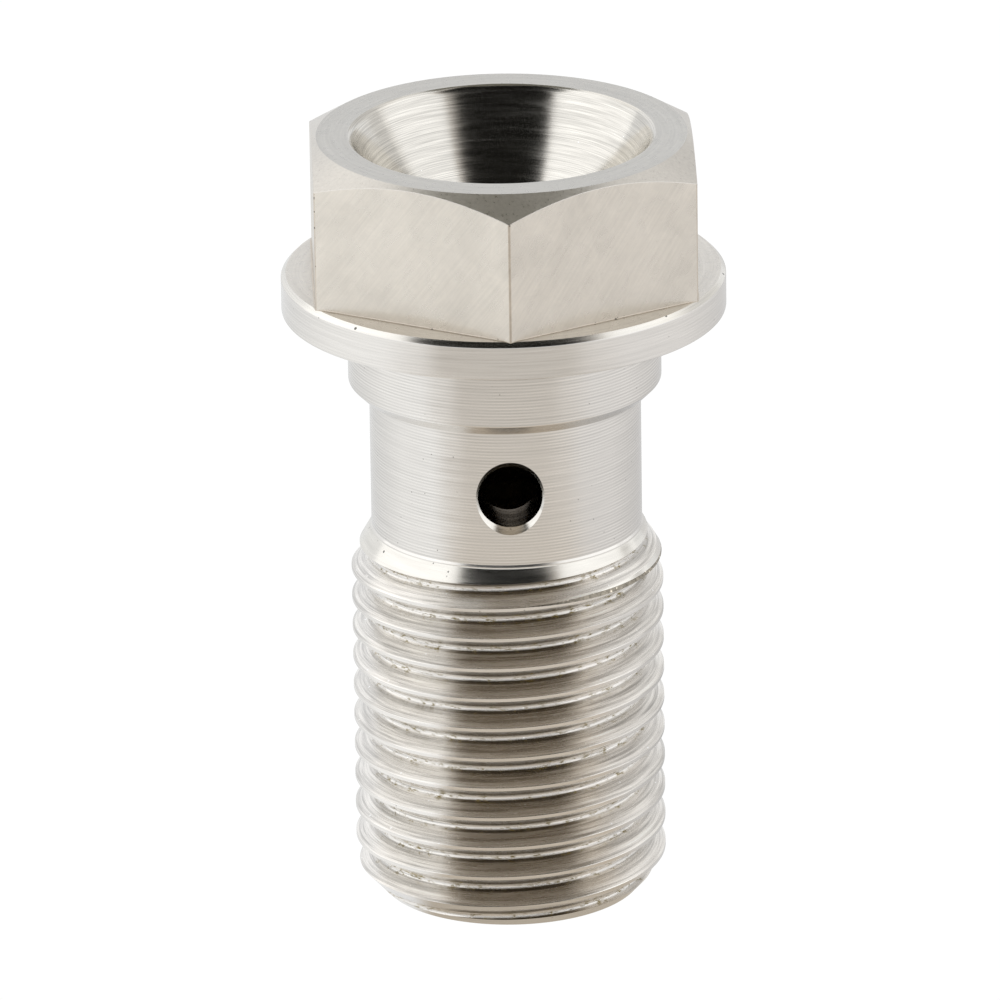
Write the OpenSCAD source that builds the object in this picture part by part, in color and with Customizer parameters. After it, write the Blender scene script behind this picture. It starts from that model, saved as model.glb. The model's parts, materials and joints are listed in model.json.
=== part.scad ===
// Banjo bolt, M10 x 1. A hollow screw that joins a hose ring to a threaded port: fluid enters
// the cross hole in the neck and leaves through the bore at the thread end.
// Turned and milled from one stainless bar. Millimetres, +Z up, thread end on the plane z = 0,
// one corner of the hexagon and the cross hole facing -Y.

/* [Thread] */
// Outside diameter of the thread
thread_d = 9.8; // [9.4:0.1:11]
// Rise of the thread in one turn
pitch = 1; // [0.75:0.05:1.25]
// Angle between the two flanks of the groove
flank_angle = 60; // [50:1:70]
// Width of the flat on the crest
crest_flat = 0.125; // [0.1:0.005:0.18]
// Width of the flat at the bottom of the groove
root_flat = 0.22; // [0.16:0.01:0.28]
// Height of a crest above the thread end, on the +X side
crest_height = 0.154; // [0:0.01:0.7]
// Diameter of the thread end, inside its chamfer
thread_end_d = 8.2; // [7:0.1:9]
// Slope of the end chamfer, measured from the axis
end_chamfer_angle = 42; // [30:1:50]
// Length from the thread end to the neck, with the run-out cone
thread_l = 12.1; // [8:0.1:20]
// Slope of the run-out cone, measured from the axis
run_out_angle = 30; // [20:1:50]

/* [Neck and shoulder] */
// Diameter of the neck
neck_d = 8.5; // [7.6:0.1:8.6]
// Length of the neck
neck_l = 4.5; // [3.5:0.1:10]
// Diameter of the shoulder that centres the hose ring
shoulder_d = 9.8; // [9.4:0.1:11]
// Length of the shoulder, with its chamfer
shoulder_l = 2.65; // [1:0.05:6]
// Chamfer on the lower edge of the shoulder
shoulder_chamfer = 0.35; // [0.1:0.05:0.4]

/* [Head] */
// Diameter of the flange
flange_d = 13.9; // [13.8:0.1:18]
// Thickness of the flange
flange_h = 1.2; // [0.8:0.05:3]
// Bevel on the upper edge of the flange
flange_bevel = 0.15; // [0.05:0.05:0.4]
// Width of the hexagon across its flats
hex_af = 11.85; // [11.6:0.05:12]
// Height of the hexagon above the flange
hex_h = 4.45; // [3:0.05:8]
// Diameter of the flat ring on top of the hexagon
crown_d = 11.55; // [11:0.05:11.6]
// Slope of the corner chamfer, measured from the flat ring
crown_angle = 31; // [15:1:40]
// Outside diameter of the dish in the head, over its rounded lip
dish_d = 9.6; // [7:0.1:10.4]
// Angle between opposite walls of the dish
dish_angle = 60; // [40:1:90]
// Depth of the dish wall
dish_depth = 4.5; // [1:0.1:4.6]
// Radius of the rounded lip of the dish
dish_lip = 0.35; // [0.1:0.05:0.5]

/* [Oil ways] */
// Diameter of the bore from the thread end
bore_d = 5; // [3:0.1:6]
// Chamfer at the mouth of the bore
bore_chamfer = 0.3; // [0.1:0.05:0.6]
// Length of the bore past the edge of the cross hole
bore_past = 0.4; // [0.1:0.1:0.8]
// Point angle of the drills that made the bore and the dish
drill_angle = 118; // [90:1:140]
// Diameter of the cross hole through both walls of the neck
cross_d = 2; // [1:0.1:3]
// Height of the countersink at each end of the cross hole
sink_d = 2.4; // [1.2:0.1:3.4]
// Angle of that countersink
sink_angle = 90; // [60:1:120]

/* [Hidden] */
$fn = 96;

// Turns are cut in straight steps, and every cutter passes the face that it opens by this much
steps_per_turn = 36;
past = 0.1;

thread_r = thread_d / 2;
neck_r = neck_d / 2;
shoulder_r = shoulder_d / 2;
flange_r = flange_d / 2;
crown_r = crown_d / 2;
bore_r = bore_d / 2;
hex_corner_r = hex_af / 2 / cos(30);

end_chamfer_h = (thread_r - thread_end_d / 2) / tan(end_chamfer_angle);
run_out_h = (thread_r - neck_r) / tan(run_out_angle);
thread_depth = (pitch - crest_flat - root_flat) / 2 / tan(flank_angle / 2);

neck_top = thread_l + neck_l;
seat_z = neck_top + shoulder_l;
flange_top = seat_z + flange_h;
head_top = flange_top + hex_h;
cross_z = thread_l + neck_l / 2;
bore_end = cross_z + cross_d / 2 + bore_past;

// The thread's groove is a trapezoid that climbs round the axis. Half its width at radius r:
function groove_half(r) = root_flat / 2 + (r - thread_r + thread_depth) * tan(flank_angle / 2);
groove_in = thread_r - thread_depth;
groove_out = thread_r + crest_flat / 4;
groove_section = [
    [groove_in, -groove_half(groove_in)],
    [groove_out, -groove_half(groove_out)],
    [groove_out, groove_half(groove_out)],
    [groove_in, groove_half(groove_in)]];

// The dish's lip is an arc between the flat ring and the wall, which leans by half the dish angle
wall_lean = dish_angle / 2;
lip_tangent = dish_lip * tan((90 - wall_lean) / 2);
dish_edge_r = dish_d / 2 - lip_tangent;
dish_floor_r = dish_edge_r - dish_depth * tan(wall_lean);
function lip_point(a) = [dish_d / 2 + dish_lip * cos(a), head_top - dish_lip + dish_lip * sin(a)];

// The solid of revolution that the lathe leaves, up to the seat under the flange
module shank() {
    rotate_extrude()
        polygon([
            [0, 0],
            [thread_end_d / 2, 0],
            [thread_r, end_chamfer_h],
            [thread_r, thread_l - run_out_h],
            [neck_r, thread_l],
            [neck_r, neck_top],
            [shoulder_r - shoulder_chamfer, neck_top],
            [shoulder_r, neck_top + shoulder_chamfer],
            [shoulder_r, seat_z + past],
            [0, seat_z + past]]);
}

// One right-hand groove, cut from below the thread end until it leaves through the run-out cone
module thread_groove() {
    first = -ceil((crest_height + pitch / 2 + groove_half(groove_out)) / pitch * steps_per_turn);
    last = ceil((thread_l - crest_height) / pitch * steps_per_turn);
    count = last - first;
    points = [
        for (i = [first:last])
            for (p = groove_section)
                let (a = i * 360 / steps_per_turn)
                    [p[0] * cos(a), p[0] * sin(a), p[1] + groove_z(i)]];
    sides = [
        for (i = [0:count - 1])
            for (j = [0:3])
                let (a = 4 * i + j, b = 4 * i + (j + 1) % 4)
                    each [[a, b, b + 4], [a, b + 4, a + 4]]];
    polyhedron(
        points = points,
        faces = concat([[3, 2, 1, 0]], sides, [[for (j = [0:3]) 4 * count + j]]),
        convexity = 2 * ceil(thread_l / pitch));
}

// Height of the groove's middle at step i, half a turn's rise above the crest below it
function groove_z(i) = crest_height + pitch / 2 + pitch * i / steps_per_turn;

// Flange under the hexagon, with its upper edge bevelled
module flange() {
    rotate_extrude()
        polygon([
            [0, seat_z],
            [flange_r, seat_z],
            [flange_r, flange_top - flange_bevel],
            [flange_r - flange_bevel, flange_top],
            [0, flange_top]]);
}

// Hexagon for the spanner, its top corners turned off by a cone
module hexagon() {
    crown_drop = (hex_corner_r + past - crown_r) * tan(crown_angle);
    intersection() {
        translate([0, 0, seat_z])
            rotate([0, 0, 30])
                cylinder(r = hex_corner_r, h = head_top - seat_z, $fn = 6);
        rotate_extrude()
            polygon([
                [0, seat_z],
                [hex_corner_r + past, seat_z],
                [hex_corner_r + past, head_top - crown_drop],
                [crown_r, head_top],
                [0, head_top]]);
    }
}

// Space of the dish: rounded lip, leaning wall and the point left by the drill
module dish() {
    rotate_extrude()
        polygon(concat(
            [[0, head_top + past], [dish_d / 2, head_top + past]],
            [for (a = [90:10:180 - wall_lean]) lip_point(a)],
            [[dish_floor_r, head_top - dish_depth]],
            [[0, head_top - dish_depth - dish_floor_r / tan(drill_angle / 2)]]));
}

// Space of the blind bore along the axis, open at the thread end
module bore() {
    rotate_extrude()
        polygon([
            [0, -past],
            [bore_r + bore_chamfer + past, -past],
            [bore_r, bore_chamfer],
            [bore_r, bore_end],
            [0, bore_end + bore_r / tan(drill_angle / 2)]]);
}

// Space of the cross hole along Y, countersunk on both sides of the neck
module cross_hole() {
    sink_h = (sink_d - cross_d) / 2 / tan(sink_angle / 2);
    cone_l = sink_h + past;
    translate([0, 0, cross_z]) {
        rotate([90, 0, 0])
            cylinder(d = cross_d, h = neck_d + 2 * past, center = true);
        for (turn = [90, -90])
            rotate([turn, 0, 0])
                translate([0, 0, neck_r - sink_h])
                    cylinder(
                        r1 = cross_d / 2,
                        r2 = cross_d / 2 + cone_l * tan(sink_angle / 2),
                        h = cone_l);
    }
}

module banjo_bolt() {
    color("#c4bfb6")
        difference() {
            union() {
                shank();
                flange();
                hexagon();
            }
            thread_groove();
            dish();
            bore();
            cross_hole();
        }
}

banjo_bolt();
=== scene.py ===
# A banjo bolt standing on its thread end in a white light tent, in metres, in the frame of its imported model
import json
from functools import partial
from math import atan2, ceil, cos, degrees, pi, radians, sin, sqrt, tan

import bmesh
import bpy
from bpy.props import FloatProperty, FloatVectorProperty, IntProperty, PointerProperty
from mathutils import Matrix, Vector


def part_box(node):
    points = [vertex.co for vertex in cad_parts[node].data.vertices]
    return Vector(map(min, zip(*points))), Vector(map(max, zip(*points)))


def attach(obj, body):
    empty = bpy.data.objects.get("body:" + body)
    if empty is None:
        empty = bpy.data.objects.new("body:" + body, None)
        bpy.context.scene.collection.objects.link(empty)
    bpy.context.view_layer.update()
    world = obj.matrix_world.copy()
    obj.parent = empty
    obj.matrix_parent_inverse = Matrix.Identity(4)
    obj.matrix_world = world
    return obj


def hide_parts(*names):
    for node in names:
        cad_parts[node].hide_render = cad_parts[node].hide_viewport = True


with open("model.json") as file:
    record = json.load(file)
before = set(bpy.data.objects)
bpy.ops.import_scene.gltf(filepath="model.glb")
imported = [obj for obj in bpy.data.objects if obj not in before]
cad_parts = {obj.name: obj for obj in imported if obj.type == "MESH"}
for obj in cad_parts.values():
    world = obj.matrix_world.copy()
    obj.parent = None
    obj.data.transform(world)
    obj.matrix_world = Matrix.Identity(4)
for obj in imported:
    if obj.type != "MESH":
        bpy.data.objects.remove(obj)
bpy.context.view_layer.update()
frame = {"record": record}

bl_info = {
    "name": "Banjo bolt",
    "version": (1, 0, 0),
    "blender": (4, 5, 0),
    "location": "View3D > Sidebar > Banjo bolt",
    "description": "Adds a stainless banjo bolt with a cut thread, and a light tent to show it in",
    "category": "Add Mesh",
}

MM = 0.001
TURN = 2 * pi
NODE = "banjo_bolt"
BODY = "root"
BOLT = "banjo_bolt_finished"

# The tool's travel grows by this much for each millimetre of radius
TRAVEL_OVER_FACE = 2.3

# What the frame gives: radii and heights in millimetres
mounts = {mount["name"]: mount for mount in frame["record"]["mounts"]}
mount_radius = {name: mounts[name]["dims"]["r_mm"] for name in ("thread", "shoulder", "oil_bore")}
seat_in_frame = mounts["flange_seat"]["pos_m"][2] / MM
low_corner, high_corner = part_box(NODE)
flange_in_frame = min(*high_corner[:2], *(-c for c in low_corner[:2])) / MM


def length(name, description, default, low, high):
    """A size, whose default, low and high are in millimetres."""
    return FloatProperty(
        name=name, description=description, default=default * MM, min=low * MM, max=high * MM,
        unit="LENGTH", subtype="DISTANCE", precision=5)


def angle(name, description, default, low, high):
    """An angle, whose default, low and high are in degrees."""
    return FloatProperty(
        name=name, description=description, default=radians(default),
        min=radians(low), max=radians(high), unit="ROTATION", subtype="ANGLE")


def number(name, description, default, low, high):
    return FloatProperty(name=name, description=description, default=default, min=low, max=high)


def linear(hex_colour):
    """sRGB hex colour, such as C9C2B7, as the linear numbers that shaders take."""
    parts = [int(hex_colour[i:i + 2], 16) / 255 for i in (0, 2, 4)]
    return tuple(p / 12.92 if p <= 0.04045 else ((p + 0.055) / 1.055) ** 2.4 for p in parts)


def colour(name, description, hex_colour):
    return FloatVectorProperty(
        name=name, description=description, default=linear(hex_colour),
        min=0, max=1, size=3, subtype="COLOR")


class BoltSizes(bpy.types.PropertyGroup):
    """Sizes of the bolt, which its mounts and its box give where they can."""

    thread_radius: length("Thread radius", "Radius of the crests", mount_radius["thread"], 4, 6)
    pitch: length("Pitch", "Rise of the thread in one turn", 1.0, 0.75, 1.25)
    flank_angle: angle("Flank angle", "Angle between the two flanks of the groove", 60, 50, 70)
    crest_flat: length("Crest flat", "Width of the flat on a crest", 0.125, 0.1, 0.18)
    crest_round: length("Crest edge", "Width that tumbling took off each crest edge", 0.025, 0, 0.05)
    root_flat: length("Root flat", "Width of the groove's bottom", 0.16, 0.16, 0.28)
    root_fillet: length("Root fillet", "Radius in the groove's corners", 0.138, 0.02, 0.18)
    crest_height: length("Crest height", "Height of a crest on the +X side", 0.154, 0, 0.7)
    end_radius: length("End radius", "Radius of the thread end inside its chamfer", 4.1, 3.5, 4.5)
    end_angle: angle("End chamfer", "Slope of the end chamfer from the axis", 42, 30, 50)
    thread_length: length("Thread length", "From the thread end to the neck", 12.1, 8, 20)
    run_out_angle: angle("Run-out cone", "Slope of the cone above the thread from the axis", 30, 20, 50)
    neck_radius: length("Neck radius", "Radius of the neck", 4.25, 3.8, 4.3)
    neck_length: length("Neck length", "Length of the neck", 4.5, 3.5, 10)
    shoulder_radius: length("Shoulder radius", "Radius of the shoulder", mount_radius["shoulder"], 4, 6)
    shoulder_chamfer: length("Shoulder chamfer", "Lower edge of the shoulder", 0.35, 0.1, 0.4)
    seat_height: length("Seat height", "Height of the flange's underside", seat_in_frame, 10, 30)
    flange_radius: length("Flange radius", "Radius of the flange", flange_in_frame, 6.9, 9)
    flange_thickness: length("Flange thickness", "Thickness of the flange", 1.2, 0.8, 3)
    flange_bevel: length("Flange bevel", "Bevel on the flange's upper edge", 0.15, 0.05, 0.4)
    across_flats: length("Across flats", "Width of the hexagon", 11.85, 11.6, 12)
    corner_round: length("Corner round", "Radius on the hexagon's upright edges", 0.08, 0.02, 0.3)
    hexagon_cove: length("Hexagon cove", "Cutter's radius at the foot of a flat", 0.05, 0.02, 0.2)
    crown_radius: length("Crown radius", "Radius of the flat ring on top", 5.775, 5.5, 5.8)
    crown_angle: angle("Crown chamfer", "Slope of the corner chamfer from the flat ring", 31, 15, 40)
    head_height: length("Head height", "Height of the head's top", high_corner[2] / MM, 15, 40)
    dish_radius: length("Dish radius", "Radius of the dish at its edge", 4.79, 3.5, 5.2)
    dish_angle: angle("Dish angle", "Angle between opposite walls of the dish", 60, 40, 90)
    dish_hollow: angle("Dish hollow", "How much flatter the dish's wall is at its foot", 7, 0, 12)
    dish_depth: length("Dish depth", "Depth of the dish's wall", 4.5, 1, 4.6)
    dish_lip: length("Dish lip", "Radius inside the dish's edge", 0.43, 0.1, 0.6)
    bore_radius: length("Bore radius", "Radius of the bore", mount_radius["oil_bore"], 1, 3)
    bore_chamfer: length("Bore chamfer", "Chamfer at the bore's mouth", 0.3, 0.1, 0.6)
    bore_past: length("Bore past hole", "Bore beyond the cross hole's edge", 0.4, 0.1, 0.8)
    drill_angle: angle("Drill point", "Point angle of the drills", 118, 90, 140)
    cross_radius: length("Cross hole", "Radius of the cross hole", 1.0, 0.5, 1.5)
    sink_radius: length("Countersink", "Radius of its countersink", 1.2, 0.6, 1.7)
    columns: IntProperty(
        name="Columns", description="Columns round the bolt, also steps in a turn of thread",
        default=180, min=36, max=360, step=6)


class BoltFinish(bpy.types.PropertyGroup):
    """Colours of the steel as each tool leaves it, of dirt, and of painted shade on the thread's front and on
    the burred ring.
    """

    turned: colour("Turned", "Neck, shoulder and flange from the lathe", "E0DCD6")
    crest: colour("Crests of the thread", "Outside of the thread, rubbed bright", "E4E0DA")
    fine: colour("Fine turned", "Bevel, run-out cone and countersink", "E6E2DA")
    milled: colour("Milled", "Satin flats of the hexagon", "DAD3C8")
    worn: colour("Worn", "Rounded upright edges of the hexagon", "CCC2B4")
    faced: colour("Faced", "Flat ring on top of the head", "C3C0BA")
    chamfered: colour("Chamfered", "Corner chamfers of the hexagon, and top of the flange", "D6D1C9")
    polished: colour("Polished", "Wall of the dish", "D9D5CD")
    cut: colour("Thread", "Flanks of the thread", "E1DDD7")
    debris: colour("Debris", "Dirt in the thread's root", "8C7A3C")
    # Tone of the painted shade on the thread's side facing the camera; the cross hole's wall takes the same
    # dark tone
    front_shade_and_hole: colour("Front shade and hole", "Painted shade on the thread's front, and the cross hole", "80776A")
    # The burred ring on the cone takes this tone as painted shade
    bored: colour("Bored", "Inside of the bore, and the burred ring on the cone", "A29A8C")


class StageSettings(bpy.types.PropertyGroup):
    """Floor, light tent and camera."""

    floor_size: length("Floor size", "Width of the floor", 4000, 1000, 10000)
    tent_radius: length("Tent radius", "Distance of the cards and lamps", 1500, 1000, 3000)
    wall: colour("Tent wall", "Light of the tent behind the bolt", "FAFCFF")
    roof: colour("Roof", "Light of the tent overhead", "7C7A71")
    slot: colour("Camera slot", "Light of the dark opening for the camera", "191917")
    front_floor: colour("Front floor", "Floor in the camera's shade", "EAE6E1")
    # Painted shade on the reflected floor, a few millimetres in front of the bolt
    near_floor_shade: colour("Near floor shade", "Floor a few millimetres in front of the bolt", "D2C8BA")
    # Painted shadow on the reflected floor at the bolt's foot
    foot_shadow: colour("Foot shadow", "Floor at the bolt's foot", "C8BFB2")
    left_light: number("Left lamp", "Light that the left softbox adds to the tent's wall", 0.43, 0, 10)
    right_light: number("Right lamp", "Light that the right softbox adds to the tent's wall", 0.3, 0, 10)
    camera_distance: length("Camera distance", "From the bolt's middle to the lens", 400, 100, 2000)
    camera_elevation: angle("Camera elevation", "Height of the camera over the bolt", 20.56, 0, 80)
    camera_azimuth: angle("Camera azimuth", "Turn of the camera round the bolt", -1.6, -180, 180)
    camera_lean: angle("Camera lean", "Roll of the camera, which leans the bolt", 0.8, -10, 10)
    lens: number("Lens", "Focal length on a 36 mm sensor", 458.9, 10, 2000)


# Helpers

def add_node(tree, kind, inputs=(), operation=None, out=0, **settings):
    """Adds one node, and returns its output of this name or number, or the node itself where out is None.

    kind is the node's type, which may leave out "ShaderNode" in front. inputs are values, or the sockets
    linked to them, in the node's own order or by name. settings are the node's other attributes.
    """
    made = tree.nodes.new(kind if "Node" in kind else "ShaderNode" + kind)
    if operation:
        made.operation = operation
    for name, value in settings.items():
        setattr(made, name, value)
    for socket, value in inputs.items() if isinstance(inputs, dict) else enumerate(inputs):
        if isinstance(value, bpy.types.NodeSocket):
            tree.links.new(value, made.inputs[socket])
        else:
            made.inputs[socket].default_value = value
    return made if out is None else made.outputs[out]


def new_material(name):
    """An empty material, and add_node() for its tree."""
    material = bpy.data.materials.new(name)
    material.use_nodes = True
    material.node_tree.nodes.clear()
    return material, partial(add_node, material.node_tree)


def mesh_from(made, name, *materials):
    """A mesh with these materials from a bmesh, which is freed."""
    mesh = bpy.data.meshes.new(name)
    made.to_mesh(mesh)
    made.free()
    for material in materials:
        mesh.materials.append(material)
    return mesh


def link(name, data):
    made = bpy.data.objects.new(name, data)
    bpy.context.scene.collection.objects.link(made)
    return made


# Steel

def turning_place(add, cross_height=None):
    """Place on a turned surface, in millimetres: the place itself, the way round it and the tool's travel.

    Travel is height plus a multiple of radius, so it grows along cylinders, cones and square faces alike.
    For the cross hole, whose height is given, the place is first turned so that the hole's axis is Z.
    """
    place = add("TexCoord", out="Object")
    if cross_height is not None:
        place = add("Mapping", {
            "Vector": place, "Location": (0, cross_height, 0), "Rotation": (pi / 2, 0, 0)})
    metric = add("VectorMath", {0: place, "Scale": 1 / MM}, "SCALE")
    way_round = add("VectorMath", (metric, (1, 1, 0)), "MULTIPLY")
    radius = add("VectorMath", (way_round,), "LENGTH", "Value")
    height = add("SeparateXYZ", (metric,), out="Z")
    travel = add("Math", (radius, TRAVEL_OVER_FACE, height), "MULTIPLY_ADD")
    return metric, way_round, travel


def streaks(add, way_round, travel, per_mm, along_per_mm):
    """Uneven marks along the tool's path, so many to a millimetre of its travel, from 0 to 1."""
    slow = add("VectorMath", {0: way_round, "Scale": along_per_mm}, "SCALE")
    fast = add("Math", (travel, per_mm), "MULTIPLY")
    lift = add("CombineXYZ", {"Z": fast})
    spot = add("VectorMath", (slow, lift), "ADD")
    return add("TexNoise", {"Vector": spot, "Scale": 1.0, "Detail": 3.0, "Roughness": 0.6})


def feed_lines(add, metric, travel, spacing):
    """Even lines that the tool's feed leaves, spacing in millimetres. They fade and come back. 0 to 1."""
    phase = add("Math", (travel, TURN / spacing), "MULTIPLY")
    wave = add("Math", (phase,), "SINE")
    patch = add("TexNoise", {"Vector": metric, "Scale": 0.7, "Detail": 2.0, "Roughness": 0.5})
    depth = add("MapRange", (patch, 0.35, 0.65, 0.06, 0.2))
    return add("Math", (wave, depth, 0.5), "MULTIPLY_ADD")


def specks(add, metric, spacing, radius, share):
    """Dots of a radius in millimetres in a share of cells, spacing millimetres apart: 1 inside, 0 outside."""
    cells = add("TexVoronoi", {"Vector": metric, "Scale": 1 / spacing}, out=None).outputs
    near = add("Math", (cells["Distance"], radius / spacing), "LESS_THAN")
    lot = add("SeparateColor", (cells["Color"],))
    drawn = add("Math", (lot, share), "LESS_THAN")
    return add("Math", (near, drawn), "MULTIPLY")


def product(add, changes):
    """The product of changes, each a factor and the multipliers where it is 0.3 or less and 0.7 or more."""
    total = None
    for factor, low, high in changes:
        here = add("MapRange", (factor, 0.3, 0.7, low, high))
        total = here if total is None else add("Math", (total, here), "MULTIPLY")
    return total


def bare_steel(add, base, tones, roughness, rough_changes, relief, depth, stretch=0.0):
    """Bare stainless steel.

    base is a colour or a socket, tones and rough_changes go to product(), relief is a height from 0 to 1
    and depth its size in millimetres. stretch is the anisotropy that marks too fine to draw give
    reflections.
    """
    tinted = add("VectorMath", {0: base, "Scale": product(add, tones)}, "SCALE")
    rough = add("Math", (product(add, rough_changes), roughness), "MULTIPLY")
    bump = add("Bump", {"Height": relief, "Distance": depth * MM, "Strength": 1.0})
    inputs = {
        "Base Color": tinted, "Metallic": 1.0, "Roughness": rough, "Anisotropic": stretch, "Normal": bump}
    if stretch:
        inputs["Anisotropic Rotation"] = 0.25
        inputs["Tangent"] = add("Tangent", direction_type="RADIAL", axis="Z")
    add("OutputMaterial", (add("BsdfPrincipled", inputs),), out=None)


def spun_steel(name, base, marks, tones, dots, roughness, rough_tones, depth, cross_height=None):
    """Steel whose streaks, marks to a millimetre and along it, set its tone, roughness and relief.

    Each of dots is the spacing, radius and share of some specks, and their multiplier.
    """
    material, add = new_material(name)
    metric, way_round, travel = turning_place(add, cross_height)
    marks = streaks(add, way_round, travel, *marks)
    dotted = [(specks(add, metric, *place), 1.0, tone) for *place, tone in dots]
    bare_steel(add, base, [(marks, *tones)] + dotted, roughness, [(marks, *rough_tones)], marks, depth)
    return material


def grained_steel(name, base, grain, tones, dots, roughness, rough_tones, depth):
    """Like spun_steel, with a grain instead of streaks: its scale to a millimetre, detail and roughness."""
    material, add = new_material(name)
    metric = turning_place(add)[0]
    grain = add("TexNoise", {"Vector": metric, "Scale": grain[0], "Detail": grain[1], "Roughness": grain[2]})
    dotted = [(specks(add, metric, *place), 1.0, tone) for *place, tone in dots]
    bare_steel(add, base, [(grain, *tones)] + dotted, roughness, [(grain, *rough_tones)], grain, depth)
    return material


def turned_steel(name, base, line_tones):
    """Turned on the lathe at a feed of 0.1 mm a turn: even bright and dull lines, and a few dark pits."""
    material, add = new_material(name)
    metric, way_round, travel = turning_place(add)
    lines = feed_lines(add, metric, travel, 0.1)
    marks = streaks(add, way_round, travel, 11, 0.3)
    pits = specks(add, metric, 0.35, 0.022, 0.5)
    bare_steel(
        add, base, [(lines, *line_tones), (marks, 0.93, 1.06), (pits, 1.0, 0.45)],
        0.22, [(marks, 0.8, 1.25)], lines, 0.0008, stretch=0.6)
    return material


def faced_steel(name, base):
    """Faced across the end of the bar: even and satin, with rings that hardly show."""
    material, add = new_material(name)
    metric, way_round, travel = turning_place(add)
    marks = streaks(add, way_round, travel, 6, 0.4)
    grain = add("TexNoise", {"Vector": metric, "Scale": 5.0, "Detail": 3.0, "Roughness": 0.6})
    bare_steel(
        add, base, [(marks, 0.91, 1.06), (grain, 0.93, 1.05)],
        0.3, [(grain, 0.85, 1.2)], marks, 0.0006, stretch=0.3)
    return material


def milled_steel(base):
    """Milled flats, tumbled: satin, clouded, with faint straight cutter marks at a slant."""
    material, add = new_material("milled_stainless_steel")
    metric = turning_place(add)[0]
    flats = add("UVMap", uv_map="flats")
    slanted = add("Mapping", {
        "Vector": flats, "Rotation": (0, 0, radians(52)), "Scale": (1.8, 0.085, 1.0)},
        vector_type="TEXTURE")
    cuts = add("TexNoise", {"Vector": slanted, "Scale": 1.0, "Detail": 3.0, "Roughness": 0.6})
    cloud = add("TexNoise", {
        "Vector": metric, "Scale": 0.55, "Detail": 3.0, "Roughness": 0.55, "Distortion": 0.6})
    smudge = add("TexNoise", {
        "Vector": metric, "Scale": 1.7, "Detail": 4.0, "Roughness": 0.6, "Distortion": 1.2})
    bare_steel(
        add, base, [(cuts, 0.95, 1.04), (cloud, 0.94, 1.05), (smudge, 0.93, 1.04)],
        0.3, [(smudge, 0.8, 1.25)], cuts, 0.0006)
    return material


def polished_steel(base):
    """The dish's wall, polished as it span: a mirror drawn out by rings of uneven strength."""
    material, add = new_material("polished_stainless_steel")
    metric, way_round, travel = turning_place(add)
    marks = streaks(add, way_round, travel, 15, 0.4)
    bands = streaks(add, way_round, travel, 3, 0.5)
    pits = specks(add, metric, 0.35, 0.02, 0.4)
    bare_steel(
        add, base, [(marks, 0.72, 1.2), (bands, 0.9, 1.07), (pits, 1.0, 2.0)],
        0.17, [(bands, 0.8, 1.25)], marks, 0.0006, stretch=0.3)
    return material


def thread_steel(base, front_shade_and_hole, debris, s):
    """Flanks of the cut thread: smooth, with drawn-out streaks, painted shade on the side facing the camera,
    and dirt near the root.

    Over is the way over the groove, in pitches, 0.5 in its middle. It steps only on the crests, so no seam
    shows on the flanks.
    """
    material, add = new_material("thread_cut_stainless_steel")
    metric, way_round = turning_place(add)[:2]
    split = add("SeparateXYZ", (metric,), out=None).outputs
    azimuth = add("Math", (split["Y"], split["X"]), "ARCTAN2")
    turns = add("Math", (azimuth, 1 / TURN), "MULTIPLY")
    height = add("Math", (split["Z"], MM / s.pitch, -s.crest_height / s.pitch), "MULTIPLY_ADD")
    climb = add("Math", (height, turns), "SUBTRACT")
    over = add("Math", (climb,), "FRACT")
    fast = add("Math", (over, 60.0), "MULTIPLY")
    marks = add("TexNoise", {
        "Vector": metric, "W": fast, "Scale": 0.35, "Detail": 3.0, "Roughness": 0.65},
        noise_dimensions="4D")
    radius = add("VectorMath", (way_round,), "LENGTH", "Value")
    root_radius = (s.thread_radius - groove_depth(s)) / MM

    # Painted shade darkens the groove on the side that faces the camera (-Y): over the lower flank, and at
    # the foot of the upper one. The streaks give it a ragged end, and the root itself is free of it
    toward_camera = add("VectorMath", (way_round, (0.005, -1, 0)), "DOT_PRODUCT", "Value")
    facing = add("Math", (toward_camera, radius), "DIVIDE")
    ragged = add("Math", (marks, 0.2, facing), "MULTIPLY_ADD")
    front_sector = add("MapRange", (ragged, 0.945, 1.03, 0.0, 1.0))
    reach = add("MapRange", (over, 0.5, 0.56, 0.2, 0.5))
    edge = add("Math", (reach, root_radius), "ADD")
    below = add("Math", (edge, radius), "SUBTRACT")
    below_shade_edge = add("MapRange", (below, 0.04, 0.09, 0.0, 1.0))
    off_root = add("MapRange", (radius, root_radius + 0.024, root_radius + 0.036, 0.0, 1.0))
    painted_shade = add("Math", (below_shade_edge, off_root), "MULTIPLY")
    painted_shade = add("Math", (painted_shade, front_sector), "MULTIPLY")
    front_shaded = add("Mix", {0: painted_shade, 6: (*base, 1), 7: (*front_shade_and_hole, 1)}, out=2, data_type="RGBA")

    # Dirt lies in crumbs within 0.2 mm of the root
    root = add("MapRange", (radius, root_radius + 0.06, root_radius + 0.22, 1.0, 0.0))
    squeezed = add("VectorMath", (metric, (1, 1, 3)), "MULTIPLY")
    lumps = add("TexNoise", {"Vector": squeezed, "Scale": 3.2, "Detail": 5.0, "Roughness": 0.75})
    crumbs = add("MapRange", (lumps, 0.54, 0.66, 0.0, 0.9))
    dirt = add("Math", (crumbs, root), "MULTIPLY")
    shaded_and_dirty = add("Mix", {0: dirt, 6: front_shaded, 7: (*debris, 1)}, out=2, data_type="RGBA")
    chips = specks(add, metric, 0.3, 0.035, 0.25)
    relief = add("Math", (dirt, 3.0, marks), "MULTIPLY_ADD")
    bare_steel(
        add, shaded_and_dirty, [(marks, 0.6, 1.42), (chips, 1.0, 1.5)],
        0.26, [(marks, 0.75, 1.3), (dirt, 1.0, 2.0)], relief, 0.002, stretch=0.8)
    return material


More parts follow.
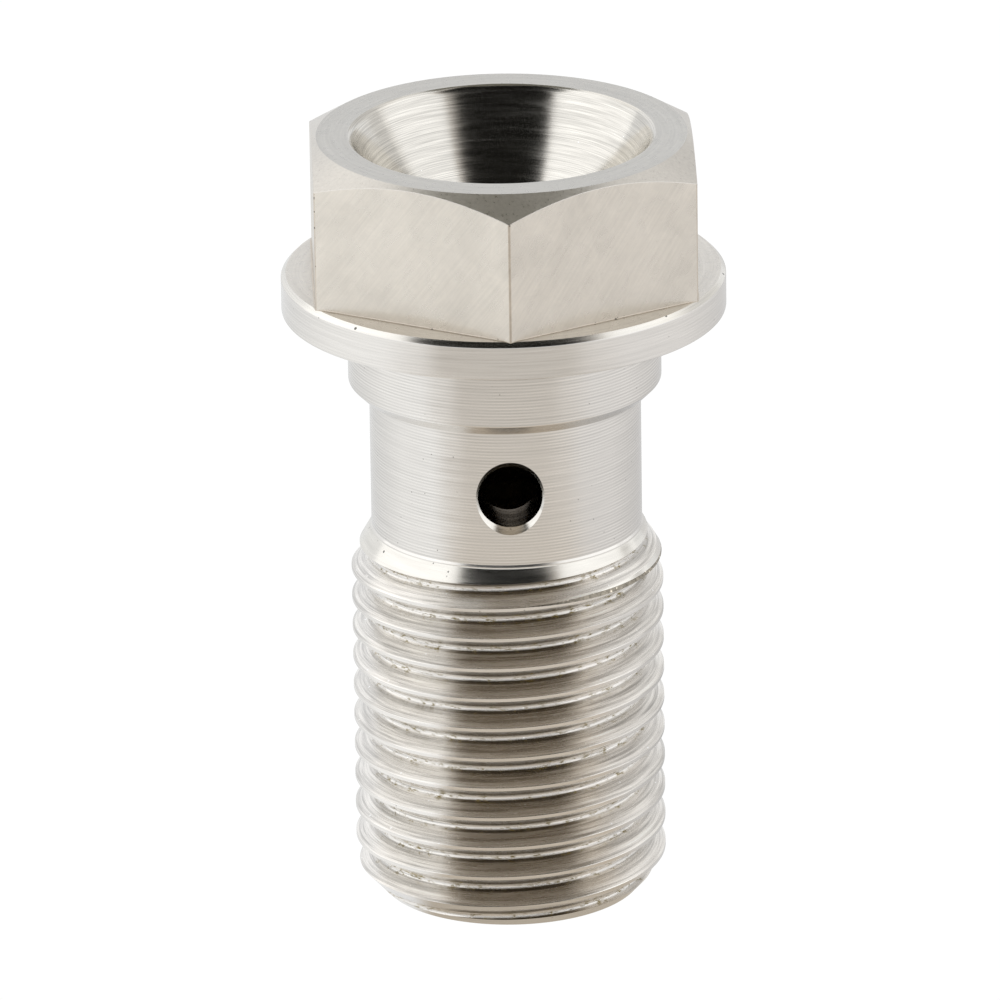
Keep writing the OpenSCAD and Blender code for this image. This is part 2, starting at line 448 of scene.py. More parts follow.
def finishes(tints, s):
    """The materials of the bolt, by the tool that left each surface."""
    cross_height = s.thread_length + s.neck_length / 2
    bored = (4, 0.6), (0.75, 1.2), [], 0.16, (0.8, 1.3), 0.003
    return {
        "turned": turned_steel("turned_stainless_steel", tints.turned, (0.87, 1.1)),
        "rim": turned_steel("rim_turned_stainless_steel", tints.turned, (0.97, 1.03)),
        # Edge where the groove breaks out of the cone: a dark grain as painted shade, with bright specks for
        # the burrs standing up
        "burred": grained_steel(
            "burred_shaded_stainless_steel", tints.bored, (6.0, 4.0, 0.7), (0.4, 1.2),
            [(0.14, 0.035, 0.5, 2.8)], 0.3, (0.8, 1.3), 0.01),
        # Turned with a sharp tool at a slow feed: nearly a mirror, with faint rings, pits and crumbs
        "fine": spun_steel(
            "fine_turned_stainless_steel", tints.fine, (12, 0.25), (0.86, 1.1),
            [(0.3, 0.022, 0.5, 0.5), (0.4, 0.05, 0.2, 0.2)], 0.2, (0.75, 1.3), 0.001),
        "faced": faced_steel("faced_stainless_steel", tints.faced),
        "flange_faced": faced_steel("flange_faced_stainless_steel", tints.chamfered),
        "crest": turned_steel("crest_turned_stainless_steel", tints.crest, (0.97, 1.03)),
        # Chamfered by a blunt form tool, then tumbled: matt, with a fine grain
        "chamfered": grained_steel(
            "chamfered_stainless_steel", tints.chamfered, (9.0, 4.0, 0.7), (0.9, 1.08),
            [], 0.31, (0.85, 1.2), 0.002),
        "milled": milled_steel(tints.milled),
        # Upright edges and foot of the hexagon, left by the tumbler dull and brownish, with dark crumbs
        "worn": grained_steel(
            "worn_stainless_steel", tints.worn, (3.0, 3.0, 0.6), (0.9, 1.1),
            [(0.22, 0.04, 0.4, 0.35)], 0.35, (0.85, 1.2), 0.001),
        "polished": polished_steel(tints.polished),
        "cut": thread_steel(tints.cut, tints.front_shade_and_hole, tints.debris, s),
        # Drilled bore and cross hole: darker steel, with coarse rings that catch a little light. The cross
        # hole takes the dark tone of the thread's painted shade
        "bored": spun_steel("bored_stainless_steel", tints.bored, *bored),
        "drilled": spun_steel("drilled_stainless_steel", tints.front_shade_and_hole, *bored, cross_height),
        # Countersink of the cross hole: a bright cut with a burred, broken edge
        "countersunk": spun_steel(
            "countersunk_stainless_steel", tints.fine, (5, 0.6), (0.8, 1.1),
            [(0.2, 0.03, 0.3, 0.5)], 0.18, (0.8, 1.3), 0.003, cross_height),
    }


# Turned blank

def corner_circle(s):
    """Rounding of the hexagon's corner: its middle's distance from the axis, and its half angle."""
    middle = (s.across_flats / 2 - s.corner_round) / cos(pi / 6)
    half = atan2(s.corner_round / 2, middle + s.corner_round * cos(pi / 6))
    return middle, half


def from_corner(azimuth):
    """Angle to the nearest corner of the hexagon, one of which faces -Y."""
    return abs((azimuth + pi / 2 + pi / 6) % (pi / 3) - pi / 6)


def hexagon_radius(azimuth, s):
    """Distance from the axis to the hexagon's wall."""
    turned = from_corner(azimuth)
    middle, half = corner_circle(s)
    if turned < half:
        aside = middle * sin(turned)
        return middle * cos(turned) + sqrt(s.corner_round ** 2 - aside ** 2)
    return s.across_flats / 2 / cos(pi / 6 - turned)


def column_azimuths(s):
    """Even columns, the first on -Y, and six close ones round each corner of the hexagon."""
    middle = corner_circle(s)[0]
    found = [TURN * k / s.columns for k in range(s.columns)]
    for corner in range(6):
        for turned in (-30, -20, -10, 10, 20, 30):
            a = radians(turned)
            close = atan2(s.corner_round * sin(a), middle + s.corner_round * cos(a))
            found.append((corner * pi / 3 + close) % TURN)
    return [a - pi / 2 for a in sorted(found)]


def eased(finish, before, corner, after, reach, steps=3):
    """A corner of the outline rounded off, from reach before it to reach after it, in millimetres."""
    corner = Vector(corner)
    start = corner + (Vector(before) - corner).normalized() * (reach * MM)
    end = corner + (Vector(after) - corner).normalized() * (reach * MM)
    shares = [k / steps for k in range(steps + 1)]
    points = [start * (1 - u) ** 2 + corner * 2 * u * (1 - u) + end * u ** 2 for u in shares]
    return [(finish, p.x, p.y) for p in points]


def blank_rings(s):
    """The blank's outline from the bore's point, round the thread end and over the head, to the dish's point.

    Each entry is the finish of the faces that lead to it, and the radius and height of a ring. Either may
    be a function of the azimuth.
    """
    end_chamfer = (s.thread_radius - s.end_radius) / tan(s.end_angle)
    run_out = (s.thread_radius - s.neck_radius) / tan(s.run_out_angle)
    neck_foot = (s.neck_radius, s.thread_length)
    neck_head = (s.neck_radius, s.thread_length + s.neck_length)
    cone_foot = (s.thread_radius, s.thread_length - run_out)
    chamfer_foot = (s.shoulder_radius - s.shoulder_chamfer, neck_head[1])
    chamfer_head = (s.shoulder_radius, neck_head[1] + s.shoulder_chamfer)
    shoulder_top = (s.shoulder_radius, s.seat_height)
    flange_top = s.seat_height + s.flange_thickness
    bevel_radius = s.flange_radius - s.flange_bevel
    seat_edge = (s.flange_radius, s.seat_height)
    bevel_edge = (s.flange_radius, flange_top - s.flange_bevel)
    bore_end = s.thread_length + s.neck_length / 2 + s.cross_radius + s.bore_past
    point = tan(s.drill_angle / 2)

    # Burrs cover the lowest 0.07 mm of the cone, and the neck starts with a step of 0.035 mm
    burr, step = 0.07 * MM, 0.035 * MM
    burr_head = (cone_foot[0] - burr, cone_foot[1] + burr / tan(s.run_out_angle))
    step_foot = (s.neck_radius + step, s.thread_length - step / tan(s.run_out_angle))
    step_head = (step_foot[0], s.thread_length - 0.02 * MM)

    def hexagon(azimuth):
        return hexagon_radius(azimuth, s)

    def cove(azimuth):
        """The cutter's radius at the hexagon's foot, which dies out where the corners reach the bevel."""
        least, share = 0.01 * MM, 0.4
        return min(s.hexagon_cove, max(least, (bevel_radius - hexagon(azimuth)) * share))

    def flat_rim(azimuth):
        return max(bevel_radius, hexagon(azimuth) + cove(azimuth))

    def flat_rim_height(azimuth):
        return flange_top - (flat_rim(azimuth) - bevel_radius)

    def crown_edge(azimuth):
        return s.head_height - (hexagon(azimuth) - s.crown_radius) * tan(s.crown_angle)

    rings = [
        ("bored", 0, bore_end + s.bore_radius / point),
        ("bored", s.bore_radius, bore_end),
        ("bored", s.bore_radius, s.bore_chamfer),
        ("turned", s.bore_radius + s.bore_chamfer, 0),
        *eased("turned", (0, 0), (s.end_radius, 0), (s.thread_radius, end_chamfer), 0.03),
        *eased("turned", (s.end_radius, 0), (s.thread_radius, end_chamfer), cone_foot, 0.02),
        ("crest", *cone_foot),
        ("burred", *burr_head),
        *eased("fine", cone_foot, step_foot, step_head, 0.015),
        ("turned", *step_head),
        ("turned", s.neck_radius, s.thread_length + 0.05 * MM),
        *eased("turned", neck_foot, neck_head, chamfer_foot, 0.12, steps=5),
        *eased("turned", neck_head, chamfer_foot, chamfer_head, 0.02),
        *eased("turned", chamfer_foot, chamfer_head, shoulder_top, 0.03),
        ("turned", *shoulder_top),
        *eased("rim", shoulder_top, seat_edge, bevel_edge, 0.05),
        *eased("rim", seat_edge, bevel_edge, (bevel_radius, flange_top), 0.025),
        ("fine", flat_rim, flat_rim_height),
        ("flange_faced", lambda a: hexagon(a) + cove(a), flat_rim_height)]

    # Cove at the hexagon's foot, a quarter of a circle, and the flats up to the crown's edge
    for quarter in (0.25, 0.5, 0.75, 1.0):
        out = 1 - sin(quarter * pi / 2)
        up = 1 - cos(quarter * pi / 2)
        rings.append((
            "worn", lambda a, out=out: hexagon(a) + out * cove(a),
            lambda a, up=up: flat_rim_height(a) + up * cove(a)))
    edge_break = 0.012 * MM
    rings += [
        ("milled", hexagon, lambda a: crown_edge(a) - edge_break),
        ("chamfered", lambda a: hexagon(a) - edge_break * cos(s.crown_angle),
            lambda a: crown_edge(a) + edge_break * sin(s.crown_angle)),
        ("chamfered", s.crown_radius, s.head_height),
        ("faced", s.dish_radius, s.head_height)]

    # Lip of the dish, from its edge to the wall, which faces the axis at wall_tilt above level
    edge_tilt, wall_tilt = radians(58), s.dish_angle / 2
    lip_steps, wall_steps = 5, 8
    for k in range(1, lip_steps + 1):
        tilt = edge_tilt + (wall_tilt - edge_tilt) * k / lip_steps
        wall_radius = s.dish_radius - s.dish_lip * (cos(tilt) - cos(edge_tilt))
        wall_height = s.head_height - s.dish_lip * (sin(edge_tilt) - sin(tilt))
        rings.append(("polished", wall_radius, wall_height))
    dish_bottom = s.head_height - s.dish_depth
    drop = (wall_height - dish_bottom) / wall_steps
    for k in range(wall_steps):
        wall_radius -= drop * tan(wall_tilt + s.dish_hollow * (k + 0.5) / wall_steps)
        wall_height -= drop
        rings.append(("polished", wall_radius, wall_height))
    return rings + [("polished", 0, dish_bottom - wall_radius / point)]


def blank_mesh(s, slots):
    """A closed mesh of revolution, apart from the hexagon."""
    azimuths = column_azimuths(s)
    count = len(azimuths)
    half = corner_circle(s)[1]
    made = bmesh.new()

    def at(value, azimuth):
        return value(azimuth) if callable(value) else value

    last = None
    for finish, radius, height in blank_rings(s):
        if radius == 0:
            ring = [made.verts.new((0, 0, height))]
        else:
            ring = [made.verts.new((
                at(radius, a) * cos(a), at(radius, a) * sin(a), at(height, a))) for a in azimuths]
        for k in range(count) if last else ():
            n = (k + 1) % count
            if len(last) == 1:
                corners = (last[0], ring[n], ring[k])
            elif len(ring) == 1:
                corners = (last[k], last[n], ring[0])
            else:
                corners = (last[k], last[n], ring[n], ring[k])
            between = azimuths[k] + ((azimuths[n] - azimuths[k]) % TURN) / 2
            rounded = finish == "milled" and from_corner(between) < half
            made.faces.new(corners).material_index = slots["worn" if rounded else finish]
        last = ring
    bmesh.ops.remove_doubles(made, verts=made.verts[:], dist=1e-7)
    bmesh.ops.recalc_face_normals(made, faces=made.faces[:])
    return mesh_from(made, BOLT)


# Cutters

def groove_tree(material):
    """Geometry nodes that sweep the thread's groove, a trapezoid with rounded root corners, up a helix.

    A straight run of sections gives the faces and the end caps. Each point then goes to its place by its
    number: the section gives its turn and climb, and the corner its distance from the axis and height.
    """
    tree = bpy.data.node_groups.new("thread_groove", "GeometryNodeTree")
    numbers = (
        "Radius", "Pitch", "Start Height", "Depth", "Root Half Width", "Crest Half Width", "Flank Slope",
        "Edge Break", "Root Fillet", "Overshoot")
    counts = ("Start Step", "Steps", "Steps per Turn", "Fillet Steps")
    for name in numbers + counts:
        kind = "NodeSocketFloat" if name in numbers else "NodeSocketInt"
        tree.interface.new_socket(name, in_out="INPUT", socket_type=kind)
    tree.interface.new_socket("Groove", in_out="OUTPUT", socket_type="NodeSocketGeometry")
    add = partial(add_node, tree)
    given = add("NodeGroupInput", out=None).outputs

    # Heights of the section's corners over its middle: at the root, where the edge break starts, and outside
    break_start = add("Math", (given["Edge Break"], given["Flank Slope"]), "MULTIPLY")
    break_height = add("Math", (given["Crest Half Width"], break_start), "SUBTRACT")
    flare = add("Math", (given["Edge Break"], given["Overshoot"]), "ADD")
    outer_height = add("Math", (break_height, flare), "ADD")
    root_in, break_in = (
        add("Math", (given[name], -1.0), "MULTIPLY") for name in ("Depth", "Edge Break"))
    upper = [add("CombineXYZ", corner) for corner in (
        (root_in, given["Root Half Width"]), (break_in, break_height), (given["Overshoot"], outer_height))]
    lower = [add("VectorMath", (corner, (1, -1, 1)), "MULTIPLY") for corner in upper]
    corners = lower + upper[::-1]

    # The section, whose first and last corners lie at the root
    index = add("GeometryNodeInputIndex")
    pick = add("GeometryNodeIndexSwitch", out=None, data_type="VECTOR")
    fillet = add("GeometryNodeIndexSwitch", out=None, data_type="FLOAT")
    for switch in (pick, fillet):
        for _ in range(len(corners) - 2):
            switch.index_switch_items.new()
        tree.links.new(index, switch.inputs[0])
    for k, corner in enumerate(corners):
        tree.links.new(corner, pick.inputs[k + 1])
    for k in (1, len(corners)):
        tree.links.new(given["Root Fillet"], fillet.inputs[k])
    ring = add("GeometryNodeCurvePrimitiveCircle", {"Resolution": len(corners)})
    shaped = add("GeometryNodeSetPosition", {0: ring, "Position": pick.outputs[0]})
    section = add("GeometryNodeFilletCurve", {
        0: shaped, "Count": given["Fillet Steps"], "Radius": fillet.outputs[0]}, mode="POLY")

    # The run of sections
    count = add("Math", (given["Steps"], 1.0), "ADD")
    line = add("GeometryNodeMeshLine", {"Count": count, "Offset": (0, 0, MM)})
    spine = add("GeometryNodeMeshToCurve", (line,))
    run = add("GeometryNodeCurveToMesh", {"Curve": spine, "Profile Curve": section, "Fill Caps": True})
    per_section = add("GeometryNodeAttributeDomainSize", (section,), out="Point Count", component="CURVE")
    ratio = add("Math", (index, per_section), "DIVIDE")
    step = add("Math", (ratio,), "FLOOR")
    corner_number = add("Math", (index, per_section), "MODULO")
    position = add("GeometryNodeInputPosition")
    corner_place = add("GeometryNodeSampleIndex", {
        "Geometry": section, "Value": position, "Index": corner_number},
        data_type="FLOAT_VECTOR", domain="POINT")
    split = add("SeparateXYZ", (corner_place,), out=None).outputs

    # The rule of the helix
    climbed = add("Math", (step, given["Start Step"]), "ADD")
    turns = add("Math", (climbed, given["Steps per Turn"]), "DIVIDE")
    azimuth = add("Math", (turns, TURN), "MULTIPLY")
    climb = add("Math", (turns, given["Pitch"], given["Start Height"]), "MULTIPLY_ADD")
    height = add("Math", (climb, split["Y"]), "ADD")
    radius = add("Math", (given["Radius"], split["X"]), "ADD")
    ways = [add("Math", (azimuth,), way) for way in ("COSINE", "SINE")]
    x, y = (add("Math", (radius, way), "MULTIPLY") for way in ways)
    place = add("CombineXYZ", (x, y, height))
    placed = add("GeometryNodeSetPosition", {0: run, "Position": place})
    real = add("GeometryNodeRealizeInstances", (placed,))
    finished = add("GeometryNodeSetMaterial", {0: real, "Material": material})
    add("NodeGroupOutput", (finished,), out=None)
    return tree


def groove_depth(s):
    """How far the groove's flat bottom lies below the crests."""
    return (s.pitch - s.crest_flat - s.root_flat) / 2 / tan(s.flank_angle / 2)


def groove_sizes(s):
    """The groove's inputs, by name. It starts below the thread end and ends inside the neck's clear space."""
    middle = s.crest_height + s.pitch / 2
    first = -ceil((middle + s.pitch / 2) / s.pitch * s.columns)
    last = ceil((s.thread_length - s.crest_height) / s.pitch * s.columns)
    return {
        "Radius": s.thread_radius, "Pitch": s.pitch, "Start Height": middle, "Start Step": first,
        "Steps": last - first, "Steps per Turn": s.columns, "Depth": groove_depth(s),
        "Root Half Width": s.root_flat / 2, "Crest Half Width": (s.pitch - s.crest_flat) / 2,
        "Flank Slope": tan(s.flank_angle / 2), "Edge Break": s.crest_round,
        "Root Fillet": s.root_fillet, "Fillet Steps": 5, "Overshoot": 0.02 * MM}


def plain_mesh(holder):
    """Evaluates the modifiers of an object into a plain mesh, and removes them."""
    graph = bpy.context.evaluated_depsgraph_get()
    graph.update()
    mesh = bpy.data.meshes.new_from_object(holder.evaluated_get(graph), depsgraph=graph)
    holder.modifiers.clear()
    holder.data = mesh


def groove_cutter(s, material):
    holder = link("groove_cutter", bpy.data.meshes.new("groove_cutter"))
    nodes = holder.modifiers.new("thread_groove", "NODES")
    nodes.node_group = groove_tree(material)
    values = groove_sizes(s)
    for item in nodes.node_group.interface.items_tree:
        if item.in_out == "INPUT":
            nodes[item.identifier] = values[item.name]
    plain_mesh(holder)
    made = bmesh.new()
    made.from_mesh(holder.data)
    bmesh.ops.recalc_face_normals(made, faces=made.faces[:])
    made.to_mesh(holder.data)
    made.free()
    return holder


def cross_cutter(s, drilled, countersunk):
    """The cross hole along Y with a countersink at each end, as one turned shape."""
    past, soft = 0.3 * MM, 0.02 * MM
    reach = s.neck_radius + past
    sink_floor = s.neck_radius - (s.sink_radius - s.cross_radius)
    half = [
        (s.cross_radius, sink_floor - soft), (s.cross_radius + soft * 0.3, sink_floor + soft * 0.3),
        (s.cross_radius + soft, sink_floor + soft), (s.cross_radius + reach - sink_floor, reach)]
    outline = [(r, -h) for r, h in reversed(half)] + half
    columns = 96
    made = bmesh.new()
    rings = [[made.verts.new((
        r * cos(TURN * k / columns), h, r * sin(TURN * k / columns)))
        for k in range(columns)] for r, h in outline]
    for place, (lower, upper) in enumerate(zip(rings, rings[1:])):
        for k in range(columns):
            n = (k + 1) % columns
            face = made.faces.new((lower[k], lower[n], upper[n], upper[k]))
            face.material_index = 0 if place == len(half) - 1 else 1
    made.faces.new(rings[0])
    made.faces.new(rings[-1])
    bmesh.ops.recalc_face_normals(made, faces=made.faces[:])
    bmesh.ops.translate(made, verts=made.verts[:], vec=(0, 0, s.thread_length + s.neck_length / 2))
    return link("cross_cutter", mesh_from(made, "cross_cutter", drilled, countersunk))


def cut(target, cutters):
    """Cuts each cutter out of the target, whose new faces keep the cutter's material."""
    for cutter in cutters:
        boolean = target.modifiers.new(cutter.name, "BOOLEAN")
        boolean.operation = "DIFFERENCE"
        boolean.solver = "EXACT"
        boolean.material_mode = "TRANSFER"
        boolean.object = cutter
    plain_mesh(target)
    for cutter in cutters:
        bpy.data.objects.remove(cutter)


def lay_out_flats(mesh, milled):
    """UV map in millimetres on the hexagon's flats: the way along a flat, and height."""
    places = mesh.uv_layers.new(name="flats").data
    between_flats = 20
    for face in mesh.polygons:
        if face.material_index == milled:
            along = Vector((-face.normal.y, face.normal.x, 0)).normalized()
            apart = between_flats * atan2(face.normal.y, face.normal.x)
            for loop, vert in zip(face.loop_indices, face.vertices):
                spot = mesh.vertices[vert].co / MM
                places[loop].uv = (spot.dot(along) + apart, spot.z)


def true_normals(mesh, s, flat_slots, cross_slots):
    """Gives each face the normals of the surface that it stands for.

    A face's normal is turned to each of its corners about the axis that its tool went round: the bolt's, or
    the cross hole's. Flats keep theirs. Faces that meet at less than 25 degrees then share one.
    """
    cross_height = s.thread_length + s.neck_length / 2
    close, on_axis = cos(radians(25)), 0.01 * MM

    def azimuth(spot, crosswise):
        if crosswise:
            return atan2(spot.x, spot.z - cross_height)
        return atan2(spot.y, spot.x)

    meeting = [[] for _ in mesh.vertices]
    for face in mesh.polygons:
        face.use_smooth = True
        crosswise = face.material_index in cross_slots
        start = azimuth(face.center, crosswise)
        for loop, vert in zip(face.loop_indices, face.vertices):
            spot = mesh.vertices[vert].co
            x, y, z = face.normal
            if face.material_index not in flat_slots and spot.xy.length > on_axis:
                turn = azimuth(spot, crosswise) - start
                c, n = cos(turn), sin(turn)
                if crosswise:
                    z, x = z * c - x * n, z * n + x * c
                else:
                    x, y = x * c - y * n, x * n + y * c
            meeting[vert].append((loop, Vector((x, y, z)), face.area))
    normals = [None] * len(mesh.loops)
    for corners in meeting:
        for loop, normal, _ in corners:
            shared = Vector()
            for _, other, area in corners:
                if normal.dot(other) > close:
                    shared += other * area
            normals[loop] = shared.normalized() if shared.length else normal
    mesh.normals_split_custom_set(normals)


class BANJO_OT_add_bolt(bpy.types.Operator):
    """Adds the bolt: a turned blank with a hexagon head, cut by the thread's groove and the cross hole"""

    bl_idname = "mesh.add_banjo_bolt"
    bl_label = "Add banjo bolt"

    def execute(self, context):
        s = context.scene.banjo_sizes
        steels = finishes(context.scene.banjo_finish, s)
        slots = {name: k for k, name in enumerate(steels)}
        bolt = link(BOLT, blank_mesh(s, slots))
        for material in steels.values():
            bolt.data.materials.append(material)
        cross_hole = cross_cutter(s, steels["drilled"], steels["countersunk"])
        cut(bolt, [groove_cutter(s, steels["cut"]), cross_hole])
        mesh = bolt.data
        if not mesh.polygons:
            raise RuntimeError("the cuts left no bolt")
        mesh.name = BOLT
        order = [material.name for material in mesh.materials]
        milled, worn, drilled, countersunk = (
            order.index(steels[name].name) for name in ("milled", "worn", "drilled", "countersunk"))
        lay_out_flats(mesh, milled)
        true_normals(mesh, s, (milled, worn), (drilled, countersunk))
        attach(bolt, BODY)
        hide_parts(NODE)
        return {"FINISHED"}


# Stage

def direction(azimuth, elevation):
    """A unit vector by its azimuth round the bolt, from -Y towards +X, and its elevation, in degrees."""
    a, e = radians(azimuth), radians(elevation)
    return Vector((sin(a) * cos(e), -cos(a) * cos(e), sin(e)))


def glow(name, rgb, strength=1.0):
    """A sheet that shines evenly, as lit cloth or card does."""
    material, add = new_material(name)
    shader = add("Emission", ((*rgb, 1), strength))
    add("OutputMaterial", (shader,), out=None)
    return material


def soft_glow(name):
    """A sheet whose light is written on its points, so that it can fade into what is beside it."""
    material, add = new_material(name)
    light = add("Attribute", out="Color", attribute_name="light", attribute_type="GEOMETRY")
    shader = add("Emission", (light, 1.0))
    add("OutputMaterial", (shader,), out=None)
    return material


def card(name, rows, distance, material, middle=(1, 1, 1), edges=None, fades=(0, 0)):
    """A curved sheet of the tent. Each row is an elevation and its two azimuths, in degrees.

    fades are the widths, in degrees, over which its two upright edges fade from the middle's light to the
    light of what is beside it.
    """
    steps = 12
    made = bmesh.new()
    light = made.verts.layers.float_color.new("light")
    grid = []
    for elevation, left, right in rows:
        width = right - left - fades[0] - fades[1]
        azimuths = [left + fades[0] + width * k / steps for k in range(steps + 1)]
        row = [left] * bool(fades[0]) + azimuths + [right] * bool(fades[1])
        verts = [made.verts.new(distance * direction(a, elevation)) for a in row]
        for vert, a in zip(verts, row):
            at_edge = edges and ((fades[0] and a == left) or (fades[1] and a == right))
            vert[light] = (*(edges if at_edge else middle), 1)
        grid.append(verts)
    for low, high in zip(grid, grid[1:]):
        for k in range(len(low) - 1):
            made.faces.new((low[k], low[k + 1], high[k + 1], high[k]))
    link(name, mesh_from(made, name, material))


def floor_sheet(name, width, height, material):
    made = bmesh.new()
    bmesh.ops.create_circle(made, cap_ends=True, segments=64, radius=width / 2)
    bmesh.ops.translate(made, verts=made.verts[:], vec=(0, 0, height))
    sheet = link(name, mesh_from(made, name, material))
    return sheet


def painted_light_floor(settings):
    """Glowing acrylic sheet as the bolt sees it, with painted light and shade: white at the sides, painted
    shade before the camera, and a painted shadow at the foot.
    """
    material, add = new_material("painted_light_acrylic_sheet")
    place = add("TexCoord", out="Object")
    far = add("VectorMath", (place,), "LENGTH", "Value")
    split = add("SeparateXYZ", (place,), out=None).outputs
    forward = add("Math", (split["Y"], -1.0), "MULTIPLY")
    azimuth = add("Math", (split["X"], forward), "ARCTAN2")

    # The camera's shade has soft edges. Near the bolt it lies further to the right, and far off it is narrow
    near = add("MapRange", (far, 0.027, 0.036, 1.0, 0.0))
    beyond = add("MapRange", (far, 0.056, 0.059, 1.0, 1.5))
    edges = []
    for aside, start, end, low in ((0.25, -67, -47, 0.0), (-0.25, 42, 66, 1.0)):
        stretch = add("Math", (near, aside, beyond), "MULTIPLY_ADD")
        stretched = add("Math", (azimuth, stretch), "MULTIPLY")
        edges.append(add(
            "MapRange", (stretched, radians(start), radians(end), low, 1.0 - low),
            interpolation_type="SMOOTHSTEP"))
    front = add("Math", edges, "MULTIPLY")

    # Its painted shade, from the bolt's foot outwards, in tenths of a metre
    reach = add("Math", (far, 1 / (100 * MM)), "MULTIPLY")
    shade = add("ValToRGB", (reach,), out=None)
    at_foot, at_hand, before = (
        Vector(tint) for tint in (settings.foot_shadow, settings.near_floor_shade, settings.front_floor))
    stops = (
        (0.06, at_foot), (0.1, at_hand), (0.16, at_hand * 0.95), (0.27, at_hand * 1.1),
        (0.35, before), (0.43, before * 0.95), (0.5, before * 0.84), (0.6, before * 0.8))
    while len(shade.color_ramp.elements) < len(stops):
        shade.color_ramp.elements.new(1.0)
    for element, (spot, rgb) in zip(shade.color_ramp.elements, stops):
        element.position = spot
        element.color = (*rgb, 1)

    # Painted light of the softboxes: brighter on the left than on the right, dimmer behind the bolt, and
    # close to the bolt brighter on the left and painted shade on the right
    side = add("MapRange", (split["X"], -0.012, 0.012, 0.0, 1.0))
    sides = add("Mix", {
        0: side, 6: (1.03, 1.05, 1.07, 1), 7: (0.87, 0.87, 0.88, 1)}, out=2, data_type="RGBA")
    near_side = add("MapRange", (side, 0.0, 1.0, 1.08, 0.76))
    close = add("MapRange", (far, 0.018, 0.035, near_side, 1.0))
    behind = add("Math", (split["Y"], far), "DIVIDE")
    dimmed = add("MapRange", (behind, 0.1, 0.8, 1.0, 0.8))
    distant = add("MapRange", (far, 0.053, 0.058, 1.0, 1.08))
    strength = add("Math", (close, dimmed), "MULTIPLY")
    strength = add("Math", (strength, distant), "MULTIPLY")
    open_floor = add("VectorMath", {0: sides, "Scale": strength}, "SCALE")
    colour_here = add("Mix", {0: front, 6: open_floor, 7: shade.outputs[0]}, out=2, data_type="RGBA")
    shader = add("Emission", (colour_here,))
    add("OutputMaterial", (shader,), out=None)
    return material


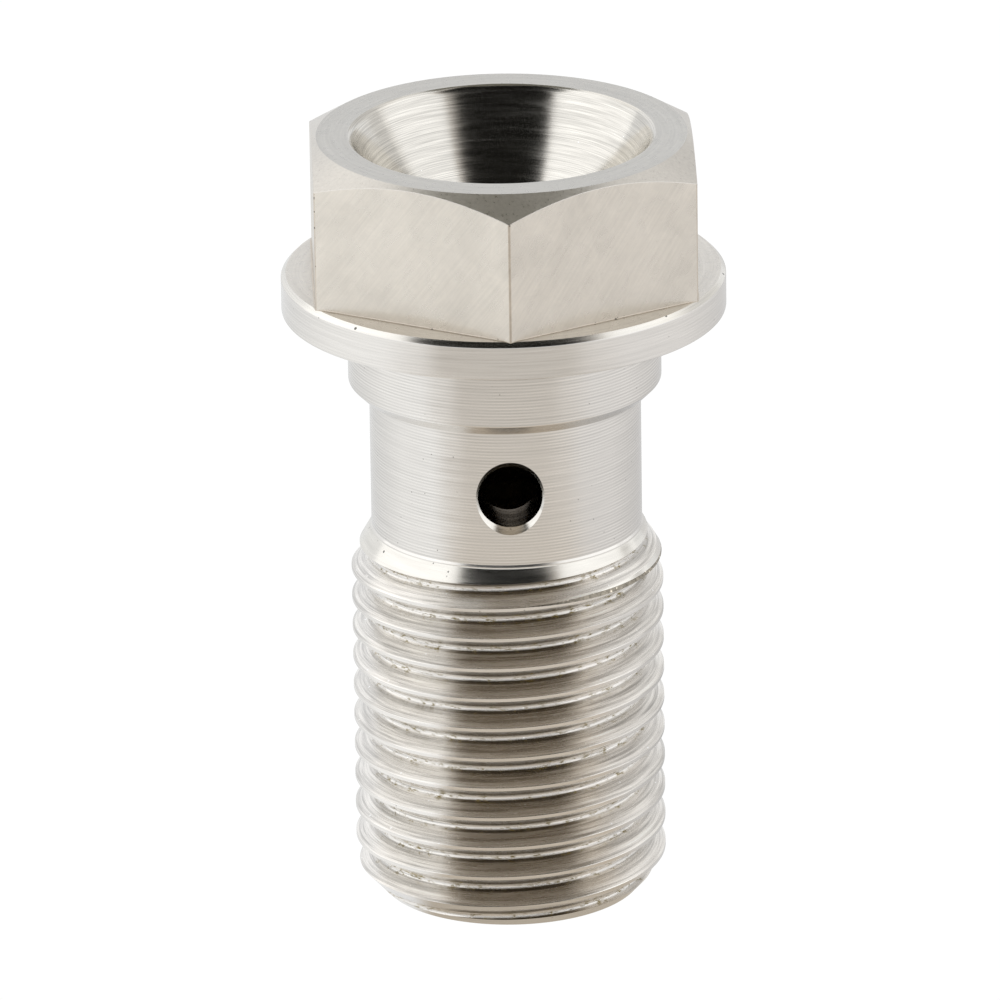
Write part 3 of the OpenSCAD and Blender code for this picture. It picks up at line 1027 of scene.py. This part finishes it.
class BANJO_OT_add_stage(bpy.types.Operator):
    """Adds the white floor, the light tent and the camera"""

    bl_idname = "scene.add_light_tent"
    bl_label = "Add light tent"

    def execute(self, context):
        settings = context.scene.banjo_stage
        self.add_floor(settings)
        self.add_tent(context, settings)
        self.add_lamps(settings)
        self.add_camera(context, settings)
        return {"FINISHED"}

    def add_floor(self, settings):
        """The floor that the camera sees is plain white, and the bolt reflects one with soft painted shade on
        it.
        """
        seen = floor_sheet("floor", settings.floor_size, 0, glow("white_acrylic_sheet", (1, 1, 1), 1.02))
        seen.visible_glossy = False
        seen.visible_diffuse = False
        reflected = floor_sheet("painted_light_floor", settings.floor_size, -0.05 * MM, painted_light_floor(settings))
        reflected.visible_camera = False

    def add_tent(self, context, settings):
        """White walls, a dark opening for the camera, a grey roof, and walls of other tones at the back."""
        world = bpy.data.worlds.new("light_tent")
        world.use_nodes = True
        world.node_tree.nodes.clear()
        wall = add_node(world.node_tree, "Background", ((*settings.wall, 1),))
        add_node(world.node_tree, "OutputWorld", (wall,), out=None)
        context.scene.world = world
        context.scene.view_settings.view_transform = "Standard"
        card("camera_slot", [(24, -38, 38), (37, -46, 47), (44, -60, 60), (55, -76, 75), (76, -92, 90)],
             settings.tent_radius, soft_glow("black_cloth"), tuple(settings.slot), (0.8, 0.76, 0.72), (4, 14))
        roof = glow("tent_roof", settings.roof)
        back = [glow(name, (tone, tone, tone)) for name, tone in (
            ("bright_tent_wall", 1.2), ("dim_tent_wall", 0.96), ("dimmest_tent_wall", 0.78))]
        for name, cloth, rows in (
                ("roof", roof, [(62, 80, 280), (76, 90, 268)]),
                ("roof_top", roof, [(76, -180, 180), (90, -180, 180)]),
                ("back_wall", back[0], [(30, 170, 235), (60, 160, 245)]),
                ("back_wall_right", back[1], [(36, 103, 163), (60, 100, 160)]),
                ("back_wall_foot", back[2], [(12, 105, 165), (36, 103, 163)])):
            card(name, rows, settings.tent_radius, cloth)

    def add_lamps(self, settings):
        """A softbox stands on each side. Its power is brightness times pi times its area."""
        for name, azimuth, light in (
                ("left_lamp", -88, settings.left_light), ("right_lamp", 88, settings.right_light)):
            lamp = bpy.data.lights.new(name, "AREA")
            lamp.shape = "RECTANGLE"
            lamp.size = 1.45 * settings.tent_radius
            lamp.size_y = 0.95 * settings.tent_radius
            lamp.energy = light * pi * lamp.size * lamp.size_y
            towards = direction(azimuth, 34)
            link(name, lamp).matrix_world = (
                Matrix.Translation(towards * settings.tent_radius * 0.9)
                @ towards.to_track_quat("Z", "Y").to_matrix().to_4x4())

    def add_camera(self, context, settings):
        """Pinhole camera fitted to the photograph's ellipses."""
        elevation, azimuth = settings.camera_elevation, settings.camera_azimuth
        back = direction(degrees(azimuth), degrees(elevation))
        right = Vector((cos(azimuth), sin(azimuth), 0))
        up = back.cross(right)
        # The camera aims at a point a little to the left of the bolt's middle and below it
        middle, aside, below = Vector((0, 0, 13 * MM)), 0.205 * MM, 0.2515 * MM
        aim = middle - aside * right - below * up
        turned = Matrix((right, up, back)).transposed() @ Matrix.Rotation(-settings.camera_lean, 3, "Z")
        camera = bpy.data.cameras.new("camera")
        camera.lens = settings.lens
        camera.sensor_width = 36
        camera.clip_start = 0.01
        holder = link("camera", camera)
        holder.matrix_world = Matrix.Translation(aim + back * settings.camera_distance) @ turned.to_4x4()
        context.scene.camera = holder


class BANJO_PT_panel(bpy.types.Panel):
    """Lists what can be added"""

    bl_idname = "BANJO_PT_panel"
    bl_label = "Banjo bolt"
    bl_space_type = "VIEW_3D"
    bl_region_type = "UI"
    bl_category = "Banjo bolt"

    def draw(self, context):
        for operator in (BANJO_OT_add_bolt, BANJO_OT_add_stage):
            self.layout.operator(operator.bl_idname)
        for group in (context.scene.banjo_sizes, context.scene.banjo_finish, context.scene.banjo_stage):
            column = self.layout.column(align=True)
            for name in group.__annotations__:
                column.prop(group, name)


classes = (BoltSizes, BoltFinish, StageSettings, BANJO_OT_add_bolt, BANJO_OT_add_stage, BANJO_PT_panel)


def register():
    for made in classes:
        bpy.utils.register_class(made)
    bpy.types.Scene.banjo_sizes = PointerProperty(type=BoltSizes)
    bpy.types.Scene.banjo_finish = PointerProperty(type=BoltFinish)
    bpy.types.Scene.banjo_stage = PointerProperty(type=StageSettings)


def unregister():
    del bpy.types.Scene.banjo_stage
    del bpy.types.Scene.banjo_finish
    del bpy.types.Scene.banjo_sizes
    for made in reversed(classes):
        bpy.utils.unregister_class(made)


def main():
    register()
    bpy.ops.scene.add_light_tent()
    bpy.ops.mesh.add_banjo_bolt()


if __name__ == "__main__":
    main()
